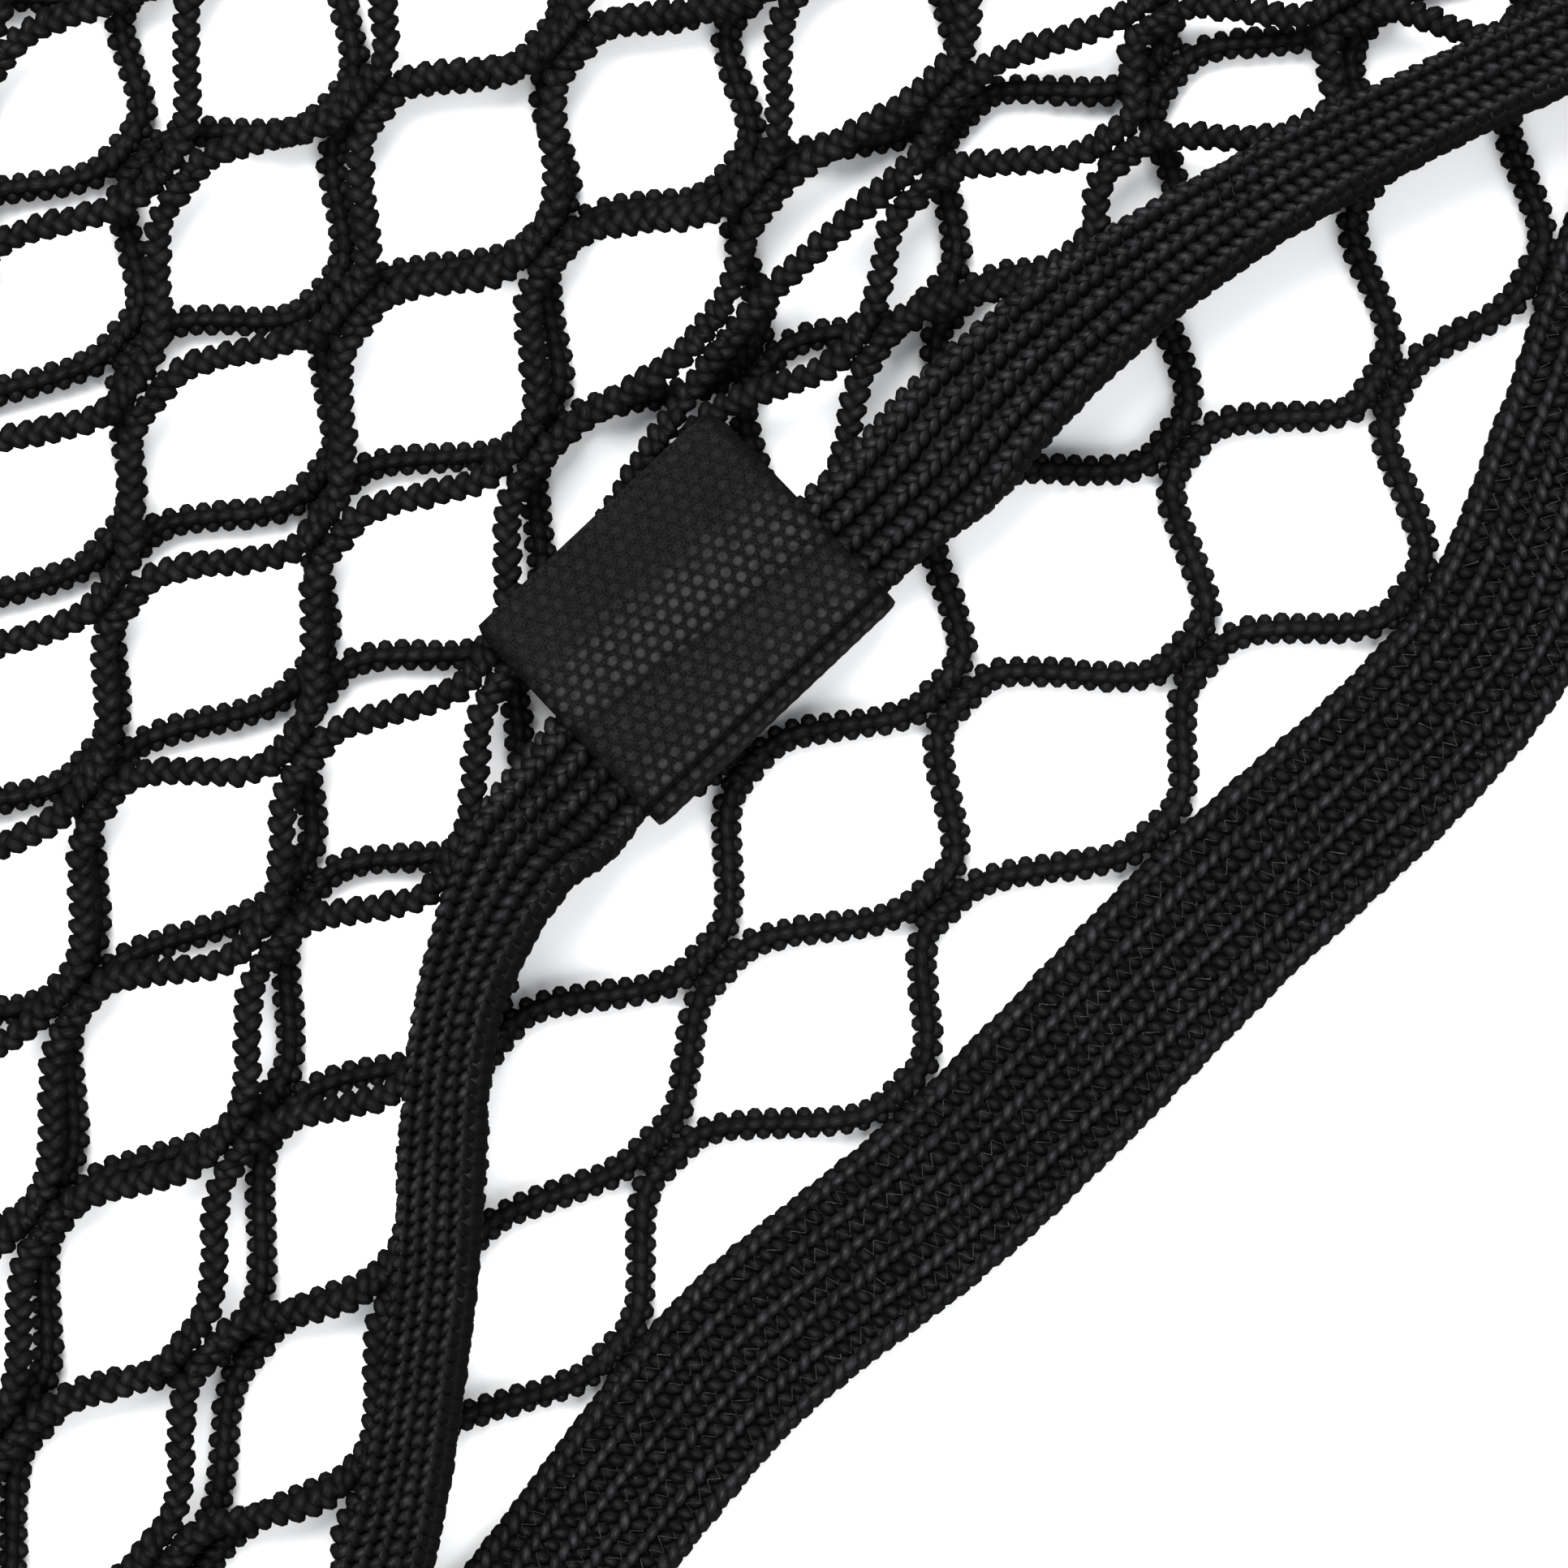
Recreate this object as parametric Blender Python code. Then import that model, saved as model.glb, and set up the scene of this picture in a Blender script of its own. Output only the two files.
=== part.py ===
# An elastic cargo net: a mesh pocket of two knitted net panels, laid flat on a surface with its
# mouth drawn open. Each panel ends at the mouth in a wide ribbed band that is knitted in one with it.
# A tab of coarse woven cloth is folded round the front band at the middle of the mouth.
#
# X runs along the mouth, +Y from the mouth to the pocket's bottom, +Z up from the surface.
# The tab's middle is at X = 0, Y = 0 until the whole net is moved over its own footprint at the end.

from math import atan, cos, radians, sin

import bmesh
import bpy
from mathutils import Vector

mm = 0.001

# Driving dimensions
pocket_half_width = 108 * mm
pocket_bottom = 92 * mm          # the closed edge's distance from the tab's middle
rim_width = 4 * mm               # the plain edge along each panel's sides and bottom
rim_stray = 0.3 * mm             # how unevenly the cords run into it
cord_width = 2.4 * mm
cord_height = 2.2 * mm
knot_swell = 1.25                # how far the cords widen where they meet
smallest_opening = 14 * mm * mm  # a smaller piece of a mesh, at an edge, stays closed

band_height = 2.3 * mm
back_ribs = 6
front_ribs = 5
band_groove_depth = 0.7 * mm
band_step = 4.5 * mm             # distance between two sections of a band

back_net_floor = 0.1 * mm        # the back band carries the back net just clear of the surface
front_floor = 2.6 * mm           # the front panel's underside, clear of the back band
tab_lift = 1.1 * mm              # how much the tab's lower layer raises the front panel
tab_lift_reach = (34 * mm, 60 * mm)

tab_length = 25 * mm             # along the band
tab_depth = 21 * mm              # across the band
tab_thickness = 0.8 * mm
tab_turn = radians(-6.6)
clearance = 0.3 * mm

# The mouth of each panel, from the lower to the upper end of the pocket's mouth.
# x: along the mouth; edge: Y of the band's net side; width: of the band; roll: of its free side,
# in degrees, up from the surface; lift: how far gathered net raises it. Millimetres.
mouth_columns = ("x", "edge", "width", "roll", "lift")
back_mouth = (
    (-108, -34, 14.0, 0, 0),
    (-68, -33.9, 13.2, 0, 0),
    (-44, -33.0, 13.9, 0, 0),
    (-18, -37.1, 14.5, 0, 0),
    (10, -39.3, 14.8, 0, 0),
    (36, -42.5, 13.8, 0, 0),
    (54, -37.5, 12.7, 0, 0),
    (72, -31.5, 13.6, 0, 0),
    (108, -32, 14.0, 0, 0),
)
front_mouth = (
    (-108, -30.5, 14.6, 0, 0.4),
    (-88, -29.5, 12.5, 18, 0.4),
    (-70, -26.5, 10.0, 50, 0.4),
    (-54, -17.5, 10.0, 54, 0.4),
    (-38, -6.0, 10.0, 54, 0.4),
    (-24, 1.0, 11.0, 38, 0.9),
    (-15, 2.6, 10.1, 0, 1.0),
    (0, 0.8, 9.9, 0, 1.0),
    (15, -1.4, 9.5, 0, 1.0),
    (26, -2.6, 12.2, 28, 0.9),
    (40, -5.6, 11.0, 37, 0.4),
    (57, -12.0, 10.0, 47, 0.4),
    (78, -21.5, 10.0, 50, 0.4),
    (92, -27.5, 12.5, 18, 0.4),
    (108, -30.5, 14.6, 0, 0.4),
)

# Each panel's mesh of knots. across: half the distance between two knots of a row; spread: how
# that distance changes from column to column; along: the distance between rows, and mouth_along
# the same for rows under even_row; x0, y0: the knot in column 0 of even_row; lean and fan: the
# sideways step per row, and its change per column; draw: how far the joints of rows 0, 1, 2 and on
# are drawn to the band; slant: their sideways share of it; drawn_from: where the drawing starts;
# droop: how far the net's far corner hangs down towards the mouth.
back_mesh = dict(across=13.7 * mm, spread=-0.2 * mm, along=9.3 * mm, mouth_along=9.3 * mm, even_row=4,
                 x0=-7.0 * mm, y0=-0.2 * mm, lean=-1.0 * mm, fan=-0.12 * mm, parity=1,
                 draw=(1.0, 1.0, 0.35), slant=0.0, drawn_from=-140 * mm, droop=0)
front_mesh = dict(across=13.8 * mm, spread=0, along=9.0 * mm, mouth_along=8.1 * mm, even_row=4,
                  x0=1.2 * mm, y0=17.0 * mm, lean=-0.1 * mm, fan=0, parity=0,
                  draw=(1.0, 0.8, 0.7, 0.25), slant=0.9, drawn_from=-10 * mm, droop=3.5 * mm)
drawn_over = 15 * mm             # the stretch over which the drawing grows to its full size
knot_stray = 0.7 * mm            # how far a knot lies off the even mesh
droop_from = 46 * mm             # the corner's distance from the tab where the droop starts
droop_over = 16 * mm             # the stretch over which it grows to its full size
to_corner = Vector((-0.64, 0.77))
droop_way = Vector((-0.77, -0.64))
mesh_rows = range(-3, 16)
mesh_columns = range(-11, 13)


def clear_scene():
    for thing in list(bpy.data.objects):
        bpy.data.objects.remove(thing, do_unlink=True)


def new_collection(name):
    group = bpy.data.collections.new(name)
    bpy.context.scene.collection.children.link(group)
    return group


def smooth_step(low, high, value):
    share = min(1.0, max(0.0, (value - low) / (high - low)))
    return share * share * (3 - 2 * share)


def read_table(table, column, x):
    """A smooth curve through one column of a mouth table, at x metres along the mouth.

    It never runs past the table's own highest and lowest values.
    """
    spot = mouth_columns.index(column)
    xs = [row[0] for row in table]
    values = [row[spot] for row in table]
    place = min(max(x / mm, xs[0]), xs[-1])
    part = max(i for i in range(len(xs) - 1) if xs[i] <= place)
    step = xs[part + 1] - xs[part]

    def slope(i):
        before, after = max(i - 1, 0), min(i + 1, len(xs) - 1)
        if (values[i] - values[before]) * (values[after] - values[i]) <= 0:
            return 0
        return (values[after] - values[before]) / (xs[after] - xs[before])

    t = (place - xs[part]) / step
    return ((1 + 2 * t) * (1 - t) ** 2 * values[part] + t * (1 - t) ** 2 * step * slope(part)
            + t * t * (3 - 2 * t) * values[part + 1] - t * t * (1 - t) * step * slope(part + 1))


def mouth_edge(table, x):
    return read_table(table, "edge", x) * mm


def mouth_slope(table, x):
    reach = 0.5 * mm
    return (mouth_edge(table, x + reach) - mouth_edge(table, x - reach)) / (2 * reach)


def panel_rise(floor, x, y):
    """How far the front panel rises over the tab's lower layer. The back panel lies under it, flat."""
    if floor < front_floor:
        return 0
    return tab_lift * (1 - smooth_step(*tab_lift_reach, Vector((x, y)).length))


# The net

def knot(mesh, table, column, row):
    """Where the cords of a panel meet, in plan."""
    rise = row - mesh["even_row"]
    x = mesh["x0"] + column * mesh["across"] + column ** 2 * mesh["spread"]
    x += rise * (mesh["lean"] + column * mesh["fan"])
    y = mesh["y0"] + rise * mesh["along" if rise > 0 else "mouth_along"]
    if -1 <= row < len(mesh["draw"]):
        joint_row = mesh["y0"] - mesh["even_row"] * mesh["mouth_along"]
        share = mesh["draw"][max(row, 0)]
        share *= smooth_step(mesh["drawn_from"], mesh["drawn_from"] + drawn_over, x)
        x += mesh["slant"] * share * (mouth_edge(table, x) - joint_row)
        y += share * (mouth_edge(table, x) - joint_row)
    else:
        x += knot_stray * sin(5.1 * column + 2.3 * row)
        y += knot_stray * sin(3.7 * row - 4.4 * column)
    place = Vector((x, y))
    share = smooth_step(droop_from, droop_from + droop_over, place.dot(to_corner))
    return place + droop_way * mesh["droop"] * share


def kept_side(outline, point, inward):
    """The part of a convex outline that lies on the inward side of a line through the point."""
    kept = []
    for here, there in zip(outline, outline[1:] + outline[:1]):
        from_line = (here - point).dot(inward)
        to_line = (there - point).dot(inward)
        if from_line >= 0:
            kept.append(here)
        if (from_line > 0 > to_line) or (from_line < 0 < to_line):
            kept.append(here.lerp(there, from_line / (from_line - to_line)))
    return kept


def area_of(outline):
    return sum(a.cross(b) for a, b in zip(outline, outline[1:] + outline[:1])) / 2


def opening(corners):
    """The gap between the cords round one mesh, whose corners are knots in anticlockwise order."""
    inner = []
    for before, here, after in zip(corners[-1:] + corners[:-1], corners, corners[1:] + corners[:1]):
        ahead = (after - here).normalized()
        behind = (before - here).normalized()
        half_angle = behind.angle(ahead) / 2
        inward = (ahead + behind).normalized()
        inner.append(here + inward * knot_swell * cord_width / 2 / sin(half_angle))
    return inner


def openings(mesh, table):
    """Every opening of a panel, cut off at its plain edges and at the mouth band."""
    found = []
    for row in mesh_rows:
        for column in mesh_columns:
            if (row + column) % 2 == mesh["parity"]:
                continue
            corners = [knot(mesh, table, column + i, row + j)
                       for i, j in ((-1, 0), (0, -1), (1, 0), (0, 1))]
            if area_of(corners) < smallest_opening:
                continue
            outline = opening(corners)
            middle = sum(outline, Vector((0, 0))) / len(outline)
            rim = rim_width + rim_stray * sin(2.9 * column + 1.7 * row)
            side = pocket_half_width - rim
            slope = mouth_slope(table, middle.x)
            band_edge = Vector((middle.x, mouth_edge(table, middle.x) + cord_width / 2))
            for point, inward in ((Vector((-side, 0)), Vector((1, 0))),
                                  (Vector((side, 0)), Vector((-1, 0))),
                                  (Vector((0, pocket_bottom - rim)), Vector((0, -1))),
                                  (band_edge, Vector((-slope, 1)).normalized())):
                outline = kept_side(outline, point, inward)
            if len(outline) > 2 and area_of(outline) > smallest_opening:
                found.append(outline)
    return found


def add_spline(curve, outline):
    spline = curve.splines.new("POLY")
    spline.points.add(len(outline) - 1)
    for point, place in zip(spline.points, outline):
        point.co = (place.x, place.y, 0, 1)
    spline.use_cyclic_u = True


def flat_piece(name, outlines, thickness):
    """A flat mesh of the given thickness, centred on Z = 0: an outline and the holes inside it."""
    curve = bpy.data.curves.new(name, "CURVE")
    curve.dimensions = "2D"
    curve.fill_mode = "BOTH"
    curve.extrude = thickness / 2
    for outline in outlines:
        add_spline(curve, outline)
    drawn = bpy.data.objects.new(name + "_outline", curve)
    bpy.context.scene.collection.objects.link(drawn)
    bpy.context.view_layer.update()
    mesh = bpy.data.meshes.new_from_object(drawn.evaluated_get(bpy.context.evaluated_depsgraph_get()))
    bpy.data.objects.remove(drawn)
    weld(mesh)
    return mesh


def weld(mesh):
    shape = bmesh.new()
    shape.from_mesh(mesh)
    bmesh.ops.remove_doubles(shape, verts=shape.verts, dist=0.01 * mm)
    bmesh.ops.recalc_face_normals(shape, faces=shape.faces)
    shape.to_mesh(mesh)
    shape.free()


def panel_outline(table):
    """A panel's edge in plan: its sides and bottom, and a line just inside the mouth band."""
    tuck = 1.3 * mm
    steps = round(2 * pocket_half_width / (3 * band_step))
    mouth = []
    for i in range(steps + 1):
        x = -pocket_half_width + 2 * pocket_half_width * i / steps
        mouth.append(Vector((x, mouth_edge(table, x) - tuck)))
    return mouth + [Vector((pocket_half_width, pocket_bottom)),
                    Vector((-pocket_half_width, pocket_bottom))]


# The mouth bands

def band_profile(width, rib_count):
    """A band's section: flat below, ribs above. Distance from the net side, and height."""
    points = [(0, 0)]
    halves = 2 * rib_count
    for i in range(halves + 1):
        height = band_height if i % 2 else band_height - band_groove_depth
        points.append((width * i / halves, height))
    points.append((width, 0))
    return points


def band_mesh(name, table, floor, rib_count):
    """A band swept along a panel's mouth, rolled and lifted as the table says."""
    length = 2 * pocket_half_width
    steps = round(length / band_step)
    corners = []
    for i in range(steps + 1):
        x = -pocket_half_width + length * i / steps
        y = mouth_edge(table, x)
        turn = atan(mouth_slope(table, x)) if 0 < i < steps else 0
        roll = radians(read_table(table, "roll", x))
        outward = Vector((sin(turn), -cos(turn), 0))
        up = Vector((0, 0, 1))
        across = outward * cos(roll) + up * sin(roll)
        face = up * cos(roll) - outward * sin(roll)
        start = Vector((x, y, floor + read_table(table, "lift", x) * mm + panel_rise(floor, x, y)))
        for along, height in band_profile(read_table(table, "width", x) * mm, rib_count):
            corners.append(start + across * along + face * height)
    around = len(corners) // (steps + 1)
    faces = []
    for i in range(steps):
        for j in range(around):
            k = (j + 1) % around
            faces.append((i * around + j, i * around + k, (i + 1) * around + k, (i + 1) * around + j))
    faces.append(tuple(reversed(range(around))))
    faces.append(tuple(range(steps * around, (steps + 1) * around)))
    mesh = bpy.data.meshes.new(name)
    mesh.from_pydata(corners, [], faces)
    weld(mesh)
    return mesh


# The pieces

def colour_material(name, colour, roughness):
    material = bpy.data.materials.new(name)
    material.use_nodes = True
    shader = material.node_tree.nodes["Principled BSDF"]
    shader.inputs["Base Color"].default_value = (*colour, 1)
    shader.inputs["Roughness"].default_value = roughness
    shader.inputs["Metallic"].default_value = 0
    return material


def add_piece(name, mesh, material, group):
    piece = bpy.data.objects.new(name, mesh)
    mesh.materials.clear()
    mesh.materials.append(material)
    group.objects.link(piece)
    return piece


def add_panel(name, mesh, table, floor, rib_count, material, group, cutters):
    """A net panel and its mouth band, knitted in one: one solid."""
    net = flat_piece(name, [panel_outline(table)] + openings(mesh, table), cord_height)
    net_floor = max(floor, back_net_floor)
    for vertex in net.vertices:
        vertex.co.z += net_floor + cord_height / 2 + panel_rise(floor, vertex.co.x, vertex.co.y)
    panel = add_piece(name, net, material, group)
    band = add_piece(name + "_band", band_mesh(name + "_band", table, floor, rib_count), material, cutters)
    band.hide_render = True
    band.display_type = "WIRE"
    join = panel.modifiers.new("band", "BOOLEAN")
    join.operation = "UNION"
    join.object = band
    return panel


def tab_section():
    """The folded tab's section: distance across the band from the fold, and height."""
    lower = front_floor + tab_lift - clearance - tab_thickness
    band_top = front_floor + tab_lift + read_table(front_mouth, "lift", 0) * mm + band_height
    over_band = band_top + clearance
    over_net = front_floor + tab_lift + cord_height + clearance
    fold_reach = 1.5 * mm
    crease = 11.5 * mm
    drop = 2.5 * mm
    t = tab_thickness
    return [(tab_depth, lower), (fold_reach * 0.6, lower), (0, lower + 2.4 * t),
            (0, over_band - 0.6 * t), (fold_reach * 0.6, over_band + t), (crease, over_band + t),
            (crease + drop, over_net + t), (tab_depth, over_net + t), (tab_depth, over_net),
            (crease + drop, over_net), (crease, over_band), (fold_reach, over_band),
            (t, over_band - t), (t, lower + 2.4 * t), (fold_reach, lower + t), (tab_depth, lower + t)]


def add_tab(material, group):
    section = [Vector((across - tab_depth / 2, height)) for across, height in tab_section()]
    mesh = flat_piece("tab", [section], tab_length)
    tab = add_piece("tab", mesh, material, group)
    tab.rotation_euler = (radians(90), 0, radians(90) + tab_turn)
    return tab


clear_scene()
part_group = new_collection("cargo_net")
cutter_group = new_collection("cargo_net_bands")
knit = colour_material("black_elastic_knit", (0.012, 0.012, 0.013), 0.8)
woven = colour_material("black_woven_cloth", (0.016, 0.015, 0.014), 0.6)

net = bpy.data.objects.new("cargo_net_place", None)
part_group.objects.link(net)
pieces = [
    add_panel("back_panel", back_mesh, back_mouth, 0, back_ribs, knit, part_group, cutter_group),
    add_panel("front_panel", front_mesh, front_mouth, front_floor, front_ribs, knit, part_group,
              cutter_group),
    add_tab(woven, part_group),
]
for piece in pieces + list(cutter_group.objects):
    piece.parent = net

# The origin is under the middle of the footprint.
lowest_mouth = min(mouth_edge(back_mouth, row[0] * mm) - row[2] * mm for row in back_mouth)
net.location.y = -(lowest_mouth + pocket_bottom) / 2
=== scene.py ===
import random
from math import atan, cos, exp, pi, radians, sin

import bmesh
import bpy
from mathutils import Matrix, Vector


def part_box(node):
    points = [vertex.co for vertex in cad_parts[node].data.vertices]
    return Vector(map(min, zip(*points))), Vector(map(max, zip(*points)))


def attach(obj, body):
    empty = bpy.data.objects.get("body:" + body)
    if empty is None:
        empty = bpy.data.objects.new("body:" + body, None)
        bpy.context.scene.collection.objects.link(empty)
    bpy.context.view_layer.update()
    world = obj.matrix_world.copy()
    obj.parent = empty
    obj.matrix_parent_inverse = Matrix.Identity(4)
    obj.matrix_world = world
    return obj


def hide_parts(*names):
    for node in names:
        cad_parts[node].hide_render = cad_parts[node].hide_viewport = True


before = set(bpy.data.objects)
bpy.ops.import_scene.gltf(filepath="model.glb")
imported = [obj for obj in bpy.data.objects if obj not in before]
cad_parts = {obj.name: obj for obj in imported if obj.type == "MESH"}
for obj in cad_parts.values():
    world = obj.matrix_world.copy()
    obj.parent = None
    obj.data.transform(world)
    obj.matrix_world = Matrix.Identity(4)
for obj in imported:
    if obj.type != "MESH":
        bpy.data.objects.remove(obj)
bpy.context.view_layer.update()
print("frame loaded:", ", ".join(sorted(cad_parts)))

mm = 0.001          # lengths below are in millimetres until a mesh is made


# Node trees

class Value:        # an output socket, for writing sums on it
    def __init__(self, maker, socket):
        self.maker, self.socket = maker, socket

    def __add__(self, other):
        return self.maker.maths("ADD", self, other)

    def __sub__(self, other):
        return self.maker.maths("SUBTRACT", self, other)

    def __rsub__(self, other):
        return self.maker.maths("SUBTRACT", other, self)

    def __mul__(self, other):
        return self.maker.maths("MULTIPLY", self, other)

    def __pow__(self, other):
        return self.maker.maths("POWER", self, other)

    __radd__, __rmul__ = __add__, __mul__


class TreeMaker:
    def __init__(self, tree):
        self.tree = tree

    def add(self, kind, settings=None, sockets=None, output=0):
        node = self.tree.nodes.new(kind)
        for name, value in (settings or {}).items():
            setattr(node, name, value)
        for name, value in (sockets or {}).items():
            self.join(value, node.inputs[name])
        return Value(self, node.outputs[output]) if node.outputs else node

    def join(self, value, socket):
        if isinstance(value, Value):
            self.tree.links.new(value.socket, socket)
        else:
            socket.default_value = value

    def maths(self, operation, first, second):
        return self.add("ShaderNodeMath", {"operation": operation}, {0: first, 1: second})

    def cosine(self, value):
        return self.add("ShaderNodeMath", {"operation": "COSINE"}, {0: value})

    def parts(self, vector):        # a vector's three values
        first = self.add("ShaderNodeSeparateXYZ", None, {0: vector})
        return [Value(self, socket) for socket in first.socket.node.outputs]


def newMaterial(name):
    material = bpy.data.materials.new(name)
    material.use_nodes = True
    maker = TreeMaker(material.node_tree)
    return material, maker, material.node_tree.nodes["Principled BSDF"]


def newGeometryTree(name, inputs):      # inputs: (name, socket type, value)
    tree = bpy.data.node_groups.new(name, "GeometryNodeTree")
    tree.interface.new_socket("Geometry", in_out="OUTPUT", socket_type="NodeSocketGeometry")
    tree.interface.new_socket("Geometry", in_out="INPUT", socket_type="NodeSocketGeometry")
    for label, kind, value in inputs:
        socket = tree.interface.new_socket(label, in_out="INPUT", socket_type=kind)
        if value is not None:
            socket.default_value = value
    maker = TreeMaker(tree)
    source = maker.add("NodeGroupInput").socket.node
    given = {socket.name: Value(maker, socket) for socket in source.outputs if socket.name}
    return tree, maker, given


def endTree(maker, geometry, material):
    real = maker.add("GeometryNodeRealizeInstances", None, {"Geometry": geometry})
    smooth = maker.add("GeometryNodeSetShadeSmooth", None, {"Geometry": real})
    painted = maker.add("GeometryNodeSetMaterial", None, {"Geometry": smooth, "Material": material})
    maker.add("NodeGroupOutput", None, {"Geometry": painted})


def runTree(name, mesh, tree, values):      # the tree's result on a mesh, as a plain mesh object
    carrier = bpy.data.objects.new(name + "Carrier", mesh)
    bpy.context.scene.collection.objects.link(carrier)
    modifier = carrier.modifiers.new("tree", "NODES")
    modifier.node_group = tree
    for item in tree.interface.items_tree:
        if item.in_out == "INPUT" and item.name in values:
            modifier[item.identifier] = values[item.name]
    bpy.context.view_layer.update()
    ready = carrier.evaluated_get(bpy.context.evaluated_depsgraph_get())
    made = bpy.data.objects.new(name, bpy.data.meshes.new_from_object(ready))
    bpy.context.scene.collection.objects.link(made)
    bpy.data.objects.remove(carrier)
    return made


def endMesh(name, mesh):        # a smooth object from a mesh made by hand
    bmesh.ops.recalc_face_normals(mesh, faces=mesh.faces)
    for face in mesh.faces:
        face.smooth = True
    made = bpy.data.objects.new(name, bpy.data.meshes.new(name))
    mesh.to_mesh(made.data)
    mesh.free()
    bpy.context.scene.collection.objects.link(made)
    return made


# The plan of the net: two panels of knitted cords, each ending in a ribbed band at the mouth

mouthColumns = ("x", "edge", "width", "roll", "lift")
backMouth = (
    (-108, -34, 14.0, 0, 0),
    (-68, -33.9, 13.2, 0, 0),
    (-44, -33.0, 13.9, 0, 0),
    (-18, -37.1, 14.5, 0, 0),
    (10, -39.3, 14.8, 0, 0),
    (36, -42.5, 13.8, 0, 0),
    (54, -37.5, 12.7, 0, 0),
    (72, -31.5, 13.6, 0, 0),
    (108, -32, 14.0, 0, 0),
)
frontMouth = (
    (-108, -30.5, 14.6, 0, 0.4),
    (-88, -29.5, 12.5, 18, 0.4),
    (-70, -26.5, 10.0, 50, 0.4),
    (-54, -17.5, 10.0, 54, 0.4),
    (-38, -6.0, 10.0, 54, 0.4),
    (-24, 1.0, 11.0, 38, 0.9),
    (-15, 2.6, 10.1, 0, 1.0),
    (0, 0.8, 9.9, 0, 1.0),
    (15, -1.4, 9.5, 0, 1.0),
    (26, -2.6, 12.2, 28, 0.9),
    (40, -5.6, 11.0, 37, 0.4),
    (57, -12.0, 10.0, 47, 0.4),
    (78, -21.5, 10.0, 50, 0.4),
    (92, -27.5, 12.5, 18, 0.4),
    (108, -30.5, 14.6, 0, 0.4),
)
pocket = {"halfWidth": 108, "bottom": 92, "rim": 4, "cordWidth": 2.4, "cordHeight": 2.2,
          "tabLift": 1.1, "liftReach": (34, 60), "knotStray": 0.7, "drawnOver": 15,
          "droopReach": (46, 62), "clothShare": 0.55}
backNet = {"name": "back", "mouth": backMouth, "floor": 0.1, "bandFloor": 0, "across": 13.7, "spread": -0.2,
           "along": 9.3, "mouthAlong": 9.3, "evenRow": 4, "x0": -7.0, "y0": -0.2, "lean": -1.0,
           "fan": -0.12, "parity": 1, "draw": (1.0, 1.0, 0.35), "slant": 0.0, "drawnFrom": -140, "droop": 0,
           "strands": (0, 14), "ribs": 6}
frontNet = {"name": "front", "mouth": frontMouth, "floor": 2.6, "bandFloor": 2.6, "across": 13.8, "spread": 0,
            "along": 9.0, "mouthAlong": 8.1, "evenRow": 4, "x0": 1.2, "y0": 17.0, "lean": -0.1,
            "fan": 0, "parity": 0, "draw": (1.0, 0.8, 0.7, 0.25), "slant": 0.9, "drawnFrom": -10,
            "droop": 3.5, "strands": (-3, 13), "ribs": 5}
toCorner, droopWay = Vector((-0.64, 0.77)), Vector((-0.77, -0.64))
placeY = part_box("back_panel")[1].y / mm - pocket["bottom"]      # from the tab's middle to the footprint's


def placed(point):      # a point of the plan, in metres on the footprint
    return Vector((point.x, point.y + placeY, point.z)) * mm


def smoothStep(low, high, value):
    share = min(1.0, max(0.0, (value - low) / (high - low)))
    return share * share * (3 - 2 * share)


def readTable(table, column, x):        # a smooth curve through one column of a mouth table
    spot = mouthColumns.index(column)
    xs = [row[0] for row in table]
    values = [row[spot] for row in table]
    place = min(max(x, xs[0]), xs[-1])
    part = max(i for i in range(len(xs) - 1) if xs[i] <= place)
    step = xs[part + 1] - xs[part]

    def slope(i):
        before, after = max(i - 1, 0), min(i + 1, len(xs) - 1)
        if (values[i] - values[before]) * (values[after] - values[i]) <= 0:
            return 0
        return (values[after] - values[before]) / (xs[after] - xs[before])

    t = (place - xs[part]) / step
    return ((1 + 2 * t) * (1 - t) ** 2 * values[part] + t * (1 - t) ** 2 * step * slope(part)
            + t * t * (3 - 2 * t) * values[part + 1] - t * t * (1 - t) * step * slope(part + 1))


def mouthEdge(net, x):
    return readTable(net["mouth"], "edge", x)


def panelRise(net, x, y):       # the front panel rises over the tab's lower layer
    if net is backNet:
        return 0
    return pocket["tabLift"] * (1 - smoothStep(*pocket["liftReach"], Vector((x, y)).length))


def knotAt(net, column, row):
    rise = row - net["evenRow"]
    x = net["x0"] + column * net["across"] + column ** 2 * net["spread"]
    x += rise * (net["lean"] + column * net["fan"])
    y = net["y0"] + rise * net["along" if rise > 0 else "mouthAlong"]
    if -1 <= row < len(net["draw"]):
        jointRow = net["y0"] - net["evenRow"] * net["mouthAlong"]
        share = net["draw"][max(row, 0)]
        share *= smoothStep(net["drawnFrom"], net["drawnFrom"] + pocket["drawnOver"], x)
        x += net["slant"] * share * (mouthEdge(net, x) - jointRow)
        y += share * (mouthEdge(net, x) - jointRow)
    else:
        x += pocket["knotStray"] * sin(5.1 * column + 2.3 * row)
        y += pocket["knotStray"] * sin(3.7 * row - 4.4 * column)
    place = Vector((x, y))
    return place + droopWay * net["droop"] * smoothStep(*pocket["droopReach"], place.dot(toCorner))


# Cords: each strand runs along the mouth in a zigzag and lies against its neighbour at every knot

strandLook = {"kiss": 1.9, "apart": 1.05, "bend": 0.75, "step": 0.9, "tuck": 0.9}
wrapLook = {"rows": (-1.5, -0.5, 0.5, 1.5), "apart": 0.95, "aside": 0.75, "lean": 38, "stray": 24,
            "raise": 0.4, "grain": (1.7, 1.05, 1.5), "seed": 7}
netColumns = range(-11, 13)


def curvePoint(start, startPull, end, endPull, t):      # a Hermite curve
    return ((1 + 2 * t) * (1 - t) ** 2 * start + t * (1 - t) ** 2 * startPull
            + t * t * (3 - 2 * t) * end - t * t * (1 - t) * endPull)


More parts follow.
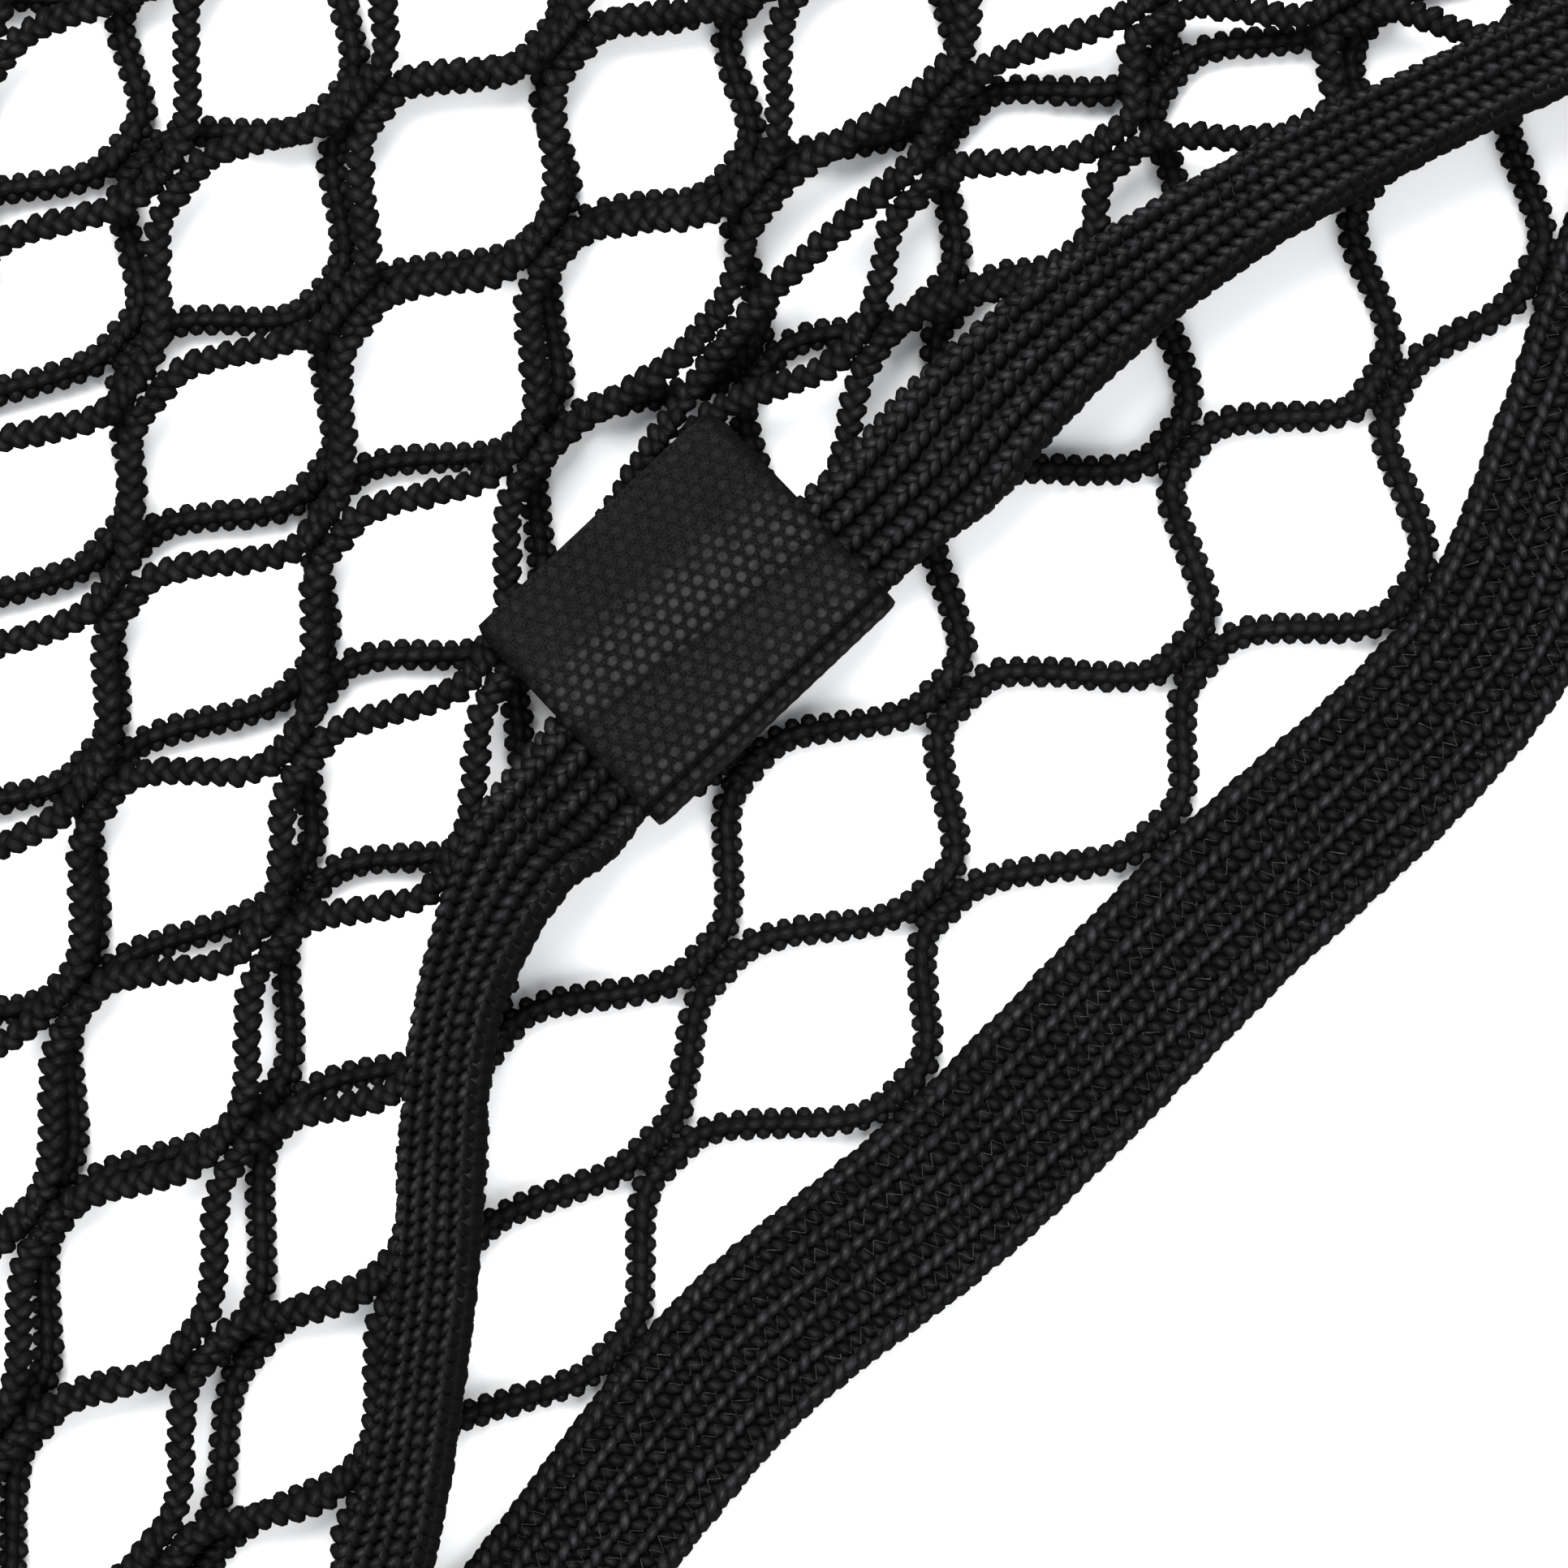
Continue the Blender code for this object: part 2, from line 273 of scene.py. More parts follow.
def strandLine(net, strand):        # a strand's middle line in plan
    controls = []
    for column in netColumns:
        low = (column + strand) % 2 == net["parity"]
        row = strand if low else strand + 1
        along = (knotAt(net, column + 2, row) - knotAt(net, column - 2, row)).normalized()
        side = Vector((-along.y, along.x)) * (1 if low else -1)
        middle = knotAt(net, column, row) + side * strandLook["apart"]
        controls.append((middle - along * strandLook["kiss"], along))
        controls.append((middle + along * strandLook["kiss"], along))
    line = []
    for (start, startWay), (end, endWay) in zip(controls, controls[1:]):
        length = (end - start).length
        pull = length * strandLook["bend"]
        steps = max(2, round(length / strandLook["step"]))
        for i in range(steps):
            line.append(curvePoint(start, startWay * pull, end, endWay * pull, i / steps))
    return line


def insideRuns(net, line):      # the stretches of a line that lie within the plain edges and the band
    side = pocket["halfWidth"] - pocket["rim"] / 2
    top = pocket["bottom"] - pocket["rim"] / 2
    runs, run = [], []
    for point in line:
        if abs(point.x) <= side and mouthEdge(net, point.x) - strandLook["tuck"] <= point.y <= top:
            run.append(point)
        else:
            runs.append(run)
            run = []
    runs.append(run)
    return [run for run in runs if len(run) > 4]


def raised(net, line):      # a route: points with the way up at each
    height = net["floor"] + pocket["cordHeight"] / 2
    return [(Vector((p.x, p.y, height + panelRise(net, p.x, p.y))), Vector((0, 0, 1))) for p in line]


def netRoutes(net):
    routes = []
    for strand in range(*net["strands"]):
        routes += [raised(net, run) for run in insideRuns(net, strandLine(net, strand))]
    return routes


def knotWraps(net):         # points of the stitches that tie two cords where they meet
    dice = random.Random(wrapLook["seed"])
    wraps = []
    for row in range(*net["strands"]):
        for column in netColumns:
            if (column + row) % 2 != net["parity"]:
                continue
            middle = knotAt(net, column, row)
            along = (knotAt(net, column + 2, row) - knotAt(net, column - 2, row)).normalized()
            side = Vector((-along.y, along.x))
            spots = [middle + along * wrapLook["apart"] * i + side * j
                     for i in wrapLook["rows"] for j in (-wrapLook["aside"], wrapLook["aside"])]
            if not insideRuns(net, spots):
                continue
            for i, (place, up) in enumerate(raised(net, spots)):
                hand = 1 if i % 2 else -1
                lean = radians(wrapLook["lean"] * hand + wrapLook["stray"] * dice.uniform(-1, 1))
                way = Vector((-along.y, along.x, 0)) * cos(lean) + Vector((*along, 0)) * sin(lean)
                wraps.append((place + up * wrapLook["raise"], way, up, dice.random()))
    return wraps


def rimLine(inset, start):          # along the closed sides and bottom, at a distance from the edge
    side, bottom = pocket["halfWidth"] - inset, pocket["bottom"] - inset
    corner = pocket["rim"] + 2 - inset
    line = [Vector((-side, start))]
    while line[-1].y + 1 < bottom - corner:
        line.append(line[-1] + Vector((0, 1)))
    for turn in range(0, 91, 10):
        a = radians(turn)
        line.append(Vector((-side + corner - corner * cos(a), bottom - corner + corner * sin(a))))
    while line[-1].x + 1 < 0:
        line.append(line[-1] + Vector((1, 0)))
    return line + [Vector((-p.x, p.y)) for p in reversed(line)]


def rimRoutes(net):         # the closed edges' cords, side by side
    routes = []
    rows = 2
    for row in range(rows):
        inset = pocket["rim"] * (row + 0.5) / rows
        start = mouthEdge(net, inset - pocket["halfWidth"]) + pocket["cordWidth"] / 2
        routes.append(raised(net, rimLine(inset, start)))
    return routes


# Mouth bands

bandLook = {"height": 2.3, "station": 1.2, "perRib": 6, "hem": 0.3, "groove": 0.22,
            "ridge": {"back": 0.4, "front": 0.6}, "stitchRise": 0.5, "edges": (0.055, 0.945),
            "ridgeLine": 0.5, "legs": (0.33, 0.67)}


def bandFrame(net, x):      # where a band's net side runs, and its across and face directions
    reach = 0.5
    edge, turn = mouthEdge(net, x), 0
    if abs(x) < pocket["halfWidth"] - reach:
        turn = atan((mouthEdge(net, x + reach) - mouthEdge(net, x - reach)) / (2 * reach))
    roll = radians(readTable(net["mouth"], "roll", x))
    outward, up = Vector((sin(turn), -cos(turn), 0)), Vector((0, 0, 1))
    lift = net["bandFloor"] + readTable(net["mouth"], "lift", x) + panelRise(net, x, edge)
    return (Vector((x, edge, lift)), outward * cos(roll) + up * sin(roll),
            up * cos(roll) - outward * sin(roll))


def bandStations():
    count = round(2 * pocket["halfWidth"] / bandLook["station"])
    return [-pocket["halfWidth"] + 2 * pocket["halfWidth"] * i / count for i in range(count + 1)]


def bandRoute(net, share, height):      # a line along a band, at a share of its width
    route = []
    for x in bandStations():
        start, across, face = bandFrame(net, x)
        width = readTable(net["mouth"], "width", x)
        route.append((start + across * width * share + face * height, face))
    return route


def bandSheet(net, name):       # the band's ground, ribbed on both faces
    hem, perRib = bandLook["hem"], bandLook["perRib"]
    count = net["ribs"] * perRib
    middle = bandLook["height"] / 2
    mesh = bmesh.new()
    rings = []
    for x in bandStations():
        start, across, face = bandFrame(net, x)
        width = readTable(net["mouth"], "width", x)
        ring = []
        for i in list(range(count + 1)) + list(range(count, -1, -1)):
            half = bandLook["groove"] + bandLook["ridge"][net["name"]] * sin(pi * i / perRib) ** 2
            half *= 1 if len(ring) <= count else -1
            ring.append(start + across * (hem + (width - 2 * hem) * i / count) + face * (middle + half))
        rings.append([mesh.verts.new(placed(point)) for point in ring])
    for here, there in zip(rings, rings[1:]):
        for i in range(len(here)):
            k = (i + 1) % len(here)
            mesh.faces.new((here[i], here[k], there[k], there[i]))
    mesh.faces.new(rings[0])
    mesh.faces.new(reversed(rings[-1]))
    return endMesh(name, mesh)


# Stitches

def walk(route, pitch, start):      # evenly spaced points on a route, with tangent and way up
    found = []
    wanted, gone = start, 0.0
    for (here, up), (there, _) in zip(route, route[1:]):
        length = (there - here).length
        while length > 0 and wanted <= gone + length:
            share = (wanted - gone) / length
            found.append((here.lerp(there, share), (there - here) / length, up))
            wanted += pitch
        gone += length
    return found


def stitchPoints(routes, look, seed, hands=(-1, 1)):     # grains of yarn, on one or both sides of a route
    dice = random.Random(seed)
    points = []
    for route in routes:
        start = look["pitch"] * dice.random()
        for hand in hands:
            late = look["stagger"] * look["pitch"] if hand == 1 else 0
            for place, tangent, up in walk(route, look["pitch"], start + late):
                side = up.cross(tangent).normalized() * hand
                lean = radians(look["slant"] + look["stray"] * dice.uniform(-1, 1))
                tilt = radians(look["tilt"])
                face = up * cos(tilt) + side * sin(tilt)
                outward = side * cos(tilt) - up * sin(tilt)
                way = tangent * cos(lean) + outward * sin(lean)
                points.append((place + side * look["offset"] + up * look["raise"], way, face, dice.random()))
    return points


def pointMesh(name, points):
    mesh = bpy.data.meshes.new(name)
    mesh.from_pydata([placed(point[0]) for point in points], [], [])
    for label, place in (("yarnWay", 1), ("faceWay", 2)):
        attribute = mesh.attributes.new(label, "FLOAT_VECTOR", "POINT")
        attribute.data.foreach_set("vector", [c for point in points for c in point[place]])
    shade = mesh.attributes.new("yarnShade", "FLOAT", "POINT")
    shade.data.foreach_set("value", [point[3] for point in points])
    return mesh


def lineMesh(name, routes):
    corners, edges = [], []
    for route in routes:
        first = len(corners)
        corners += [placed(place) for place, _ in route]
        edges += [(i, i + 1) for i in range(first, len(corners) - 1)]
    mesh = bpy.data.meshes.new(name)
    mesh.from_pydata(corners, edges, [])
    return mesh


grainLook = {"sides": 8, "rings": 3, "fullness": 1.12, "uneven": 0.1}


def grainTree():        # one grain of yarn on each point
    tree, maker, given = newGeometryTree("yarnGrains", (
        ("Length", "NodeSocketFloat", 1.5), ("Width", "NodeSocketFloat", 0.9),
        ("Height", "NodeSocketFloat", 1.2), ("Segments", "NodeSocketInt", grainLook["sides"]),
        ("Rings", "NodeSocketInt", grainLook["rings"]), ("Uneven", "NodeSocketFloat", grainLook["uneven"]),
        ("Seed", "NodeSocketInt", 1), ("Yarn", "NodeSocketMaterial", None)))
    ball = maker.add("GeometryNodeMeshUVSphere", None,
                     {"Segments": given["Segments"], "Rings": given["Rings"], "Radius": 0.5 * mm})
    full = grainLook["fullness"]        # makes up for the ball's few sides
    size = maker.add("ShaderNodeCombineXYZ", None,
                     {"X": given["Length"] * full, "Y": given["Width"] * full, "Z": given["Height"]})
    grainPlace = maker.add("ShaderNodeVectorMath", {"operation": "SCALE"},
                           {0: maker.add("GeometryNodeInputPosition"), "Scale": 2 / mm})     # -1 to 1
    grain = maker.add("GeometryNodeStoreNamedAttribute", {"data_type": "FLOAT_VECTOR", "domain": "POINT"},
                      {"Geometry": ball, "Name": "grainPlace", "Value": grainPlace})
    grain = maker.add("GeometryNodeTransform", None, {"Geometry": grain, "Scale": size})
    yarnWay, faceWay = (maker.add("GeometryNodeInputNamedAttribute", {"data_type": "FLOAT_VECTOR"},
                                  {"Name": way}) for way in ("yarnWay", "faceWay"))
    turned = maker.add("FunctionNodeAlignRotationToVector", {"axis": "X", "pivot_axis": "AUTO"},
                       {"Vector": yarnWay})
    turned = maker.add("FunctionNodeAlignRotationToVector", {"axis": "Z", "pivot_axis": "X"},
                       {"Rotation": turned, "Vector": faceWay})
    low, high = 1 - given["Uneven"], 1 + given["Uneven"]
    scale = maker.add("FunctionNodeRandomValue", {"data_type": "FLOAT"},
                      {2: low, 3: high, "Seed": given["Seed"]}, output=1)
    grains = maker.add("GeometryNodeInstanceOnPoints", None,
                       {"Points": given["Geometry"], "Instance": grain, "Rotation": turned, "Scale": scale})
    endTree(maker, grains, given["Yarn"])
    return tree


def tubeTree():         # a round tube along every line
    tree, maker, given = newGeometryTree("yarnTubes", (
        ("Radius", "NodeSocketFloat", 0.8), ("Sides", "NodeSocketInt", 6),
        ("Yarn", "NodeSocketMaterial", None)))
    curve = maker.add("GeometryNodeMeshToCurve", None, {"Mesh": given["Geometry"]})
    ring = maker.add("GeometryNodeCurvePrimitiveCircle", None,
                     {"Resolution": given["Sides"], "Radius": given["Radius"] * mm})
    tube = maker.add("GeometryNodeCurveToMesh", None,
                     {"Curve": curve, "Profile Curve": ring, "Fill Caps": True})
    endTree(maker, tube, given["Yarn"])
    return tree


# Yarns and cloth

yarnLook = {"black": 0.0008, "grey": 0.0155, "blue": 1.07, "patch": 230, "fibre": 5200, "filament": 5,
            "filamentDraw": 0.22, "crown": 2.1, "patchTone": 0.5, "filamentTone": 2.4, "shadeTone": 0.3,
            "darker": 0.7, "fibreTone": 0.8, "rough": 0.35, "fibreRough": 0.3, "creaseRough": 0.4,
            "bump": 1.0, "bumpDepth": 0.16, "gloss": 0.045}


def yarnMaterial(name, brightness, grainy=True, patches=yarnLook["patch"], contrast=2):
    material, maker, shader = newMaterial(name)
    place = maker.add("ShaderNodeTexCoord", output="Object")
    patch = maker.add("ShaderNodeTexNoise", None, {"Vector": place, "Scale": patches, "Detail": 3})
    if grainy:          # filaments run along each grain, and the yarn is painted darker down in the creases between grains, as painted shade
        grainPlace = maker.add("ShaderNodeAttribute", {"attribute_name": "grainPlace"}, None, output="Vector")
        shade = maker.add("ShaderNodeAttribute", {"attribute_name": "yarnShade"}, None, output="Fac")
        height = maker.parts(grainPlace)[2]
        drawn = maker.add("ShaderNodeMapping", None,
                          {"Vector": grainPlace, "Scale": (yarnLook["filamentDraw"], 1, 1)})
        fibre = maker.add("ShaderNodeTexNoise", {"noise_dimensions": "4D"},
                          {"Vector": drawn, "W": 9 * shade, "Scale": yarnLook["filament"], "Detail": 3,
                           "Roughness": 0.6})
        crown = height * height
        tone = patch * yarnLook["patchTone"] + fibre * yarnLook["filamentTone"]
        tone = tone + shade * yarnLook["shadeTone"]
        # the crown factor darkens each grain towards its base: painted shade in the creases
        amount = crown ** yarnLook["crown"] * (tone - yarnLook["darker"]) ** contrast
    else:
        crown = 1
        fibre = maker.add("ShaderNodeTexNoise", None,
                          {"Vector": place, "Scale": yarnLook["fibre"], "Detail": 4, "Roughness": 0.7})
        amount = (patch * yarnLook["patchTone"] + fibre * yarnLook["fibreTone"]) ** contrast
    dark, bright = ((v * brightness, v * brightness, v * yarnLook["blue"] * brightness, 1)
                    for v in (yarnLook["black"], yarnLook["grey"]))
    colour = maker.add("ShaderNodeMix", {"data_type": "RGBA"}, {0: amount, 6: dark, 7: bright}, output=2)
    maker.join(colour, shader.inputs["Base Color"])
    rough = fibre * yarnLook["fibreRough"] + yarnLook["rough"] + yarnLook["creaseRough"] * (1 - crown)
    maker.join(rough, shader.inputs["Roughness"])
    bump = maker.add("ShaderNodeBump", None, {"Strength": yarnLook["bump"], "Height": fibre,
                                              "Distance": yarnLook["bumpDepth"] * mm})
    maker.join(bump, shader.inputs["Normal"])
    shader.inputs["Specular IOR Level"].default_value = yarnLook["gloss"]
    return material


tabLook = {"length": 25, "depth": 21, "thickness": 0.8, "turn": -6.6, "clearance": 0.3, "step": 0.24,
           "warp": 1.04, "weft": 0.645, "weave": 0.13, "dotSpread": 0.2, "dotFullness": 3, "dotMiddle": 0.4,
           "skin": 0.08, "rounding": (0.3, 0.65, 0.82, 0.92, 0.98, 1), "corner": 2.4, "cuts": (0.035, 0.09),
           "crease": 8.5, "creaseSlope": -0.108, "foldBend": 1.2, "plainStrength": 0.4,
           "sidePaintedShade": 0.35, "sideReach": (0.3, 1.4), "foldPaintedShade": 0.4, "foldReach": 1.2}
clothLook = {"dark": 0.0009, "bright": 0.024, "fibre": 6500, "patch": 150, "dotVariation": 900, "dotVariationBase": 0.1,
             "dotVariationTone": 3.6, "dotPaintedHighlight": 0.95, "patchTone": 0.15, "fibreTone": 1.5, "darker": 0.67,
             "rough": 0.6, "patchRough": 0.2, "dotRough": -0.25, "gloss": 0.018, "bump": 1.0,
             "bumpDepth": 0.2, "fibreBump": 0.35}


def clothMaterial(name):        # weavePlace holds the place on the cloth and how strongly the weave shows, which also sets how bright its dots' painted highlights are
    material, maker, shader = newMaterial(name)
    place = maker.add("ShaderNodeTexCoord", output="Object")
    cloth = maker.add("ShaderNodeAttribute", {"attribute_name": "weavePlace"}, None, output="Vector")
    across, along, strength = maker.parts(cloth)
    fibre = maker.add("ShaderNodeTexNoise", None,
                      {"Vector": place, "Scale": clothLook["fibre"], "Detail": 4, "Roughness": 0.7})
    patch = maker.add("ShaderNodeTexNoise", None, {"Vector": place, "Scale": clothLook["patch"], "Detail": 3})
    crossing = maker.cosine(across * (pi / tabLook["weft"])) * maker.cosine(along * (pi / tabLook["warp"]))
    crossing = (2 * crossing + maker.cosine(along * (2 * pi / tabLook["warp"]))) * (1 / 3)
    crown = maker.maths("MAXIMUM", crossing + tabLook["dotSpread"], 0.0)
    valley = 1 - crown * (1 / (1 + tabLook["dotSpread"]))
    # random noise varies how strongly each dot shows, and so how bright its painted highlight is
    dotNoise = maker.add("ShaderNodeTexNoise", None, {"Vector": place, "Scale": clothLook["dotVariation"], "Detail": 2})
    dotVariation = clothLook["dotVariationBase"] + clothLook["dotVariationTone"] * dotNoise * dotNoise
    dots = (1 - valley ** tabLook["dotFullness"]) * strength * dotVariation
    # the shade attribute darkens the colour: painted shade in the edge's groove, along the crease, at the
    # fold's turn and on the tab's ends
    shade = maker.add("ShaderNodeAttribute", {"attribute_name": "clothPaintedShade"}, None, output="Fac")
    # the weave's dots are painted lighter than the cloth between them: a painted highlight on each crossing,
    # brightest where the weave's strength is high
    tone = clothLook["dotPaintedHighlight"] * dots + clothLook["patchTone"] * patch + clothLook["fibreTone"] * fibre
    amount = (tone - clothLook["darker"]) * shade
    dark, bright = ((v, v, v, 1) for v in (clothLook["dark"], clothLook["bright"]))
    colour = maker.add("ShaderNodeMix", {"data_type": "RGBA"}, {0: amount, 6: dark, 7: bright}, output=2)
    maker.join(colour, shader.inputs["Base Color"])
    rough = clothLook["rough"] + clothLook["patchRough"] * patch + clothLook["dotRough"] * dots
    maker.join(rough, shader.inputs["Roughness"])
    bump = maker.add("ShaderNodeBump", None, {"Strength": clothLook["bump"],
                                              "Distance": clothLook["bumpDepth"] * mm,
                                              "Height": dots + clothLook["fibreBump"] * fibre})
    maker.join(bump, shader.inputs["Normal"])
    shader.inputs["Specular IOR Level"].default_value = clothLook["gloss"]
    return material


knitYarn = yarnMaterial("knitYarn", 0.8)
bandYarn = yarnMaterial("bandYarn", 1.75)
# the back band's ridge yarn is painted about three times lighter than its well yarn: a painted highlight on
# the ribs' tops and painted shade down in the wells between them
ridgeYarnPaintedLight = yarnMaterial("ridgeYarnPaintedLight", 2.2)
wellYarnPaintedShade = yarnMaterial("wellYarnPaintedShade", 0.75)
coreYarn = yarnMaterial("coreYarn", 0.25, grainy=False)
groundYarn = yarnMaterial("groundYarn", 1.3, grainy=False)
zigzagThread = yarnMaterial("zigzagThread", 11, grainy=False, patches=700, contrast=6)
tabCloth = clothMaterial("tabCloth")


# One thread whipped round both panels' closed edges, through the bands' ends too

closingLook = {"pitch": 3.6, "radius": 0.24, "sides": 5, "start": -44.5, "under": 0.26, "over": 5.15,
               "overBand": 6.1}
closingTurn = ((-1.3, 0.96), (0, 1), (1.3, 0.96), (2.2, 0.76), (2.2, 0.24), (1.3, 0.03), (0, 0), (-1.3, 0.03),
               (-2.2, 0.24), (-2.2, 0.76))


def closingRoute():
    line = [(Vector((*p, 0)), Vector((0, 0, 1))) for p in rimLine(pocket["rim"] / 2, closingLook["start"])]
    route = []
    for i, (place, tangent, up) in enumerate(walk(line, closingLook["pitch"] / len(closingTurn), 0)):
        reach, share = closingTurn[i % len(closingTurn)]
        top = closingLook["overBand" if place.y < mouthEdge(frontNet, place.x) else "over"]
        height = closingLook["under"] * (1 - share) + top * share
        route.append((place + up.cross(tangent).normalized() * reach + up * height, up))
    return route


# Making the panels: the front shows the knit's face, with stitches like a braid, and the back its
# reverse, where the cord's elastic core lies between two rows of loops

cordLooks = {
    "back": {"pitch": 1.28, "slant": 60, "offset": 0.56, "raise": 0.0, "stagger": 0.5, "stray": 9, "tilt": 12,
             "grain": (1.3, 1.3, 1.7), "core": 0.82},
    "front": {"pitch": 1.28, "slant": 50, "offset": 0.27, "raise": 0.0, "stagger": 0.5, "stray": 8, "tilt": 8,
              "grain": (2.0, 1.25, 2.05), "core": 0.76, "sides": 9},
}
chainLook = {"pitch": 1.28, "slant": 8, "offset": 0.0, "raise": 0.5, "stagger": 0.0, "stray": 6, "tilt": 0,
             "grain": (2.4, 1.2, 1.1), "sides": 6}
vLook = {"pitch": 1.2, "slant": 38, "offset": 0.0, "raise": 0.15, "stagger": 0.0, "stray": 9, "tilt": 24,
         "grain": (1.75, 1.0, 1.2)}
ridgeLook = {"pitch": 1.19, "slant": 22, "offset": 0.0, "raise": 0.3, "stagger": 0.0, "stray": 20, "tilt": 0,
             "grain": (1.8, 0.95, 1.0)}
wellLook = {"pitch": 1.19, "slant": 70, "offset": 0.0, "raise": -0.05, "stagger": 0.0, "stray": 12, "tilt": 0,
            "grain": (1.9, 1.05, 0.8)}
edgeLook = {"pitch": 1.19, "slant": 80, "offset": 0.0, "raise": 0.0, "stagger": 0.0, "stray": 10, "tilt": 0,
            "grain": (1.4, 1.9, 1.9)}
grains, tubes = grainTree(), tubeTree()
coreSides = 5


def grainMesh(name, points, look, seed, yarn):
    length, width, height = look["grain"]
    return runTree(name, pointMesh(name, points), grains,
                   {"Length": length, "Width": width, "Height": height, "Seed": seed, "Yarn": yarn,
                    "Segments": look.get("sides", grainLook["sides"])})


def grainPiece(name, parts, seed, yarn):      # parts: (routes, look, hands)
    made = []
    for routes, look, hands in parts:
        points = stitchPoints(routes, look, seed + len(made), hands)
        made.append(grainMesh(name, points, look, seed, yarn))
    if len(made) > 1:
        bpy.ops.object.select_all(action="DESELECT")
        for piece in made:
            piece.select_set(True)
        bpy.context.view_layer.objects.active = made[0]
        bpy.ops.object.join()
    return made[0]


def tubePiece(name, routes, radius, sides, yarn):
    return runTree(name, lineMesh(name, routes), tubes, {"Radius": radius, "Sides": sides, "Yarn": yarn})


zigzagLook = {"reach": 0.55, "uneven": (0.55, 1.15), "stray": 0.22, "dips": (0, 0, 0.6), "start": 0.2,
              "rise": 0.8, "radius": 0.07, "sides": 4, "seed": 5}


def zigzagRoutes(net):      # the thin thread in the band's wells, which dips out of sight here and there
    routes = []
    dice = random.Random(zigzagLook["seed"])
    for groove in range(1, net["ribs"]):
        middle = bandRoute(net, groove / net["ribs"], bandLook["height"] / 2 + zigzagLook["rise"])
        steps = walk(middle, ridgeLook["pitch"] / 2, zigzagLook["start"])
        route = []
        for i, (place, tangent, up) in enumerate(steps):
            side = up.cross(tangent).normalized()
            reach = zigzagLook["reach"] * dice.uniform(*zigzagLook["uneven"]) * (1 if i % 2 else -1)
            dip = up * dice.choice(zigzagLook["dips"])
            stray = tangent * dice.uniform(-zigzagLook["stray"], zigzagLook["stray"])
            route.append((place + side * reach + stray - dip, up))
        routes.append(route)
    return routes


def ribRoutes(net, share, face=1):      # one line along each rib, at a share of the rib's width
    height = bandLook["height"] / 2 + bandLook["stitchRise"] * face
    lines = [bandRoute(net, (i + share) / net["ribs"], height) for i in range(net["ribs"])]
    return [[(place, up * face) for place, up in line] for line in lines]


def bandPieces(net, seed):
    name, ribs, middle = net["name"], net["ribs"], bandLook["height"] / 2
    edges = [bandRoute(net, share, middle) for share in bandLook["edges"]]
    if net is backNet:
        wells = [bandRoute(net, i / ribs, middle + bandLook["stitchRise"]) for i in range(1, ribs)]
        ridges = ribRoutes(net, bandLook["ridgeLine"])
        return [
            grainPiece(name + "_band_ridges", [(ridges, ridgeLook, (1,))], seed, ridgeYarnPaintedLight),
            grainPiece(name + "_band_wells", [(wells, wellLook, (-1,))], seed + 3, wellYarnPaintedShade),
            grainPiece(name + "_band_edges", [(edges, edgeLook, (1,))], seed + 5, knitYarn),
            tubePiece(name + "_band_zigzag", zigzagRoutes(net), zigzagLook["radius"], zigzagLook["sides"],
                      zigzagThread),
        ]
    left, right = bandLook["legs"]      # each V's two legs, on the band's face and then on its underside
    rows = [(ribRoutes(net, left), vLook, (-1,)), (ribRoutes(net, right), vLook, (1,)),
            (ribRoutes(net, left, -1), vLook, (1,)), (ribRoutes(net, right, -1)[:-1], vLook, (-1,))]
    return [
        grainPiece(name + "_band_stitches", rows, seed, bandYarn),
        grainPiece(name + "_band_edges", [(edges[1:], edgeLook, (1,)),
                                          (edges[:1], cordLooks["front"], (-1, 1))], seed + 5, bandYarn),
    ]


def makePanel(net, seed):
    name, look = net["name"], cordLooks[net["name"]]
    cords, rims = netRoutes(net), rimRoutes(net)
    stitches = grainPiece(name + "_net_stitches", [(cords, look, (-1, 1))], seed, knitYarn)
    rimLook = {**look, "sides": grainLook["sides"]}
    rim = grainPiece(name + "_rim_stitches", [(rims, rimLook, (-1, 1))], seed + 1, knitYarn)
    thinned = [route[:-1:2] + route[-1:] for route in cords + rims]
    core = tubePiece(name + "_net_cores", thinned, look["core"], coreSides, coreYarn)
    ground = bandSheet(net, name + "_band")
    ground.data.materials.append(groundYarn)
    wraps = grainMesh(name + "_net_wraps", knotWraps(net), wrapLook, seed + 7, knitYarn)
    pieces = [stitches, rim, core, wraps, ground] + bandPieces(net, seed + 2)
    if net is backNet:
        pieces.append(grainPiece(name + "_net_chains", [(cords + rims, chainLook, (1,))], seed + 9, knitYarn))
    else:
        pieces.append(tubePiece("closing_thread", [closingRoute()], closingLook["radius"],
                                closingLook["sides"], groundYarn))
    for piece in pieces:
        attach(piece, "root")
        print(piece.name, sum(len(face.vertices) - 2 for face in piece.data.polygons), "triangles")
    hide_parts(name + "_panel")
    width = 2 * pocket["halfWidth"] * mm
    length = (pocket["bottom"] - mouthEdge(net, -pocket["halfWidth"])) * mm
    pocket["clothShare"] * width * length


makePanel(backNet, 11)
makePanel(frontNet, 23)


# The tab: coarse cloth folded round the front band

def tabLine():          # the folded cloth's middle line: distance from the fold, and height
    half, gap = tabLook["thickness"] / 2, tabLook["clearance"]
    netFloor = frontNet["floor"] + pocket["tabLift"]
    low = netFloor - gap - half
    overNet = netFloor + pocket["cordHeight"] + gap + half
    overBand = netFloor + readTable(frontMouth, "lift", 0) + bandLook["height"] + gap + half
    depth = tabLook["depth"]
    radius = (overBand - low) / 2
    bend = tabLook["foldBend"]
    line = [(depth, low), (depth * 0.7, low), (depth * 0.4, low), (3, low)]
    for turn in range(0, 181, 15):
        a = radians(turn)
        line.append((half + bend - bend * sin(a), low + radius - radius * cos(a)))
    line += [(2.6, overBand), (6, overBand), (9.8, overBand), (11.8, overBand - 0.3), (14.2, overNet + 0.1),
             (17, overNet), (depth, overNet)]
    return [Vector((u, v)) for u, v in line]


